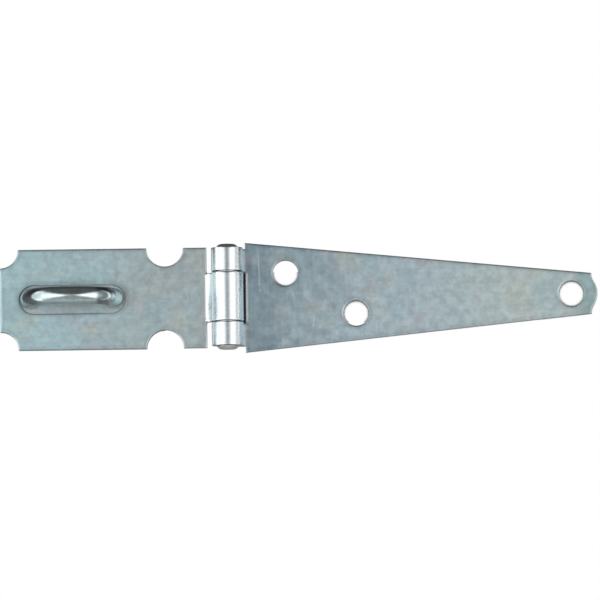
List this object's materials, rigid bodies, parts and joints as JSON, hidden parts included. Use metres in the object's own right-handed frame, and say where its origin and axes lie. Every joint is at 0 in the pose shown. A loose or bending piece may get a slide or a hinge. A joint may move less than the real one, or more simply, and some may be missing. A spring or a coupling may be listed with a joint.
{
  "type": "strap hinge hasp",
  "caption": "Hinge hasp with a tapered strap: its slotted leaf swings on a fixed pin and closes over a padlock staple on a screwed plate.",
  "frame": {"origin": "on the mounting plane, at the middle of the closed hasp's footprint, on the strap's back face, 22 mm from the pin's axis", "axes": "+X from the leaf towards the strap's tip, +Y along the hinge pin, +Z out of the mounting surface"},
  "size_m": [0.1846, 0.034, 0.021],
  "materials": {
    "zinc_strap": "bright zinc plate, satin, with fine scratches",
    "zinc_leaf": "bright zinc plate, satin, with faint iridescence",
    "zinc_pin": "bright zinc plate, satin",
    "zinc_plate": "bright zinc plate, satin",
    "zinc_wire": "bright zinc plate, polished"
  },
  "bodies": {
    "staple_half": {"staple_plate": "zinc_plate", "staple": "zinc_wire"},
    "strap_half": {"strap": "zinc_strap", "hinge_pin": "zinc_pin"},
    "leaf": {"hasp_leaf": "zinc_leaf"}
  },
  "joints": [
    {"name": "hasp_lift_off", "type": "slide", "parent": "staple_half", "child": "strap_half", "axis": [0, 0, 1], "range_m": [0, 0.035]},
    {"name": "leaf_swing", "type": "hinge", "parent": "strap_half", "child": "leaf", "pos_m": [-0.022, 0, 0.0056], "axis": [0, 1, 0], "range_deg": [0, 180]}
  ]
}
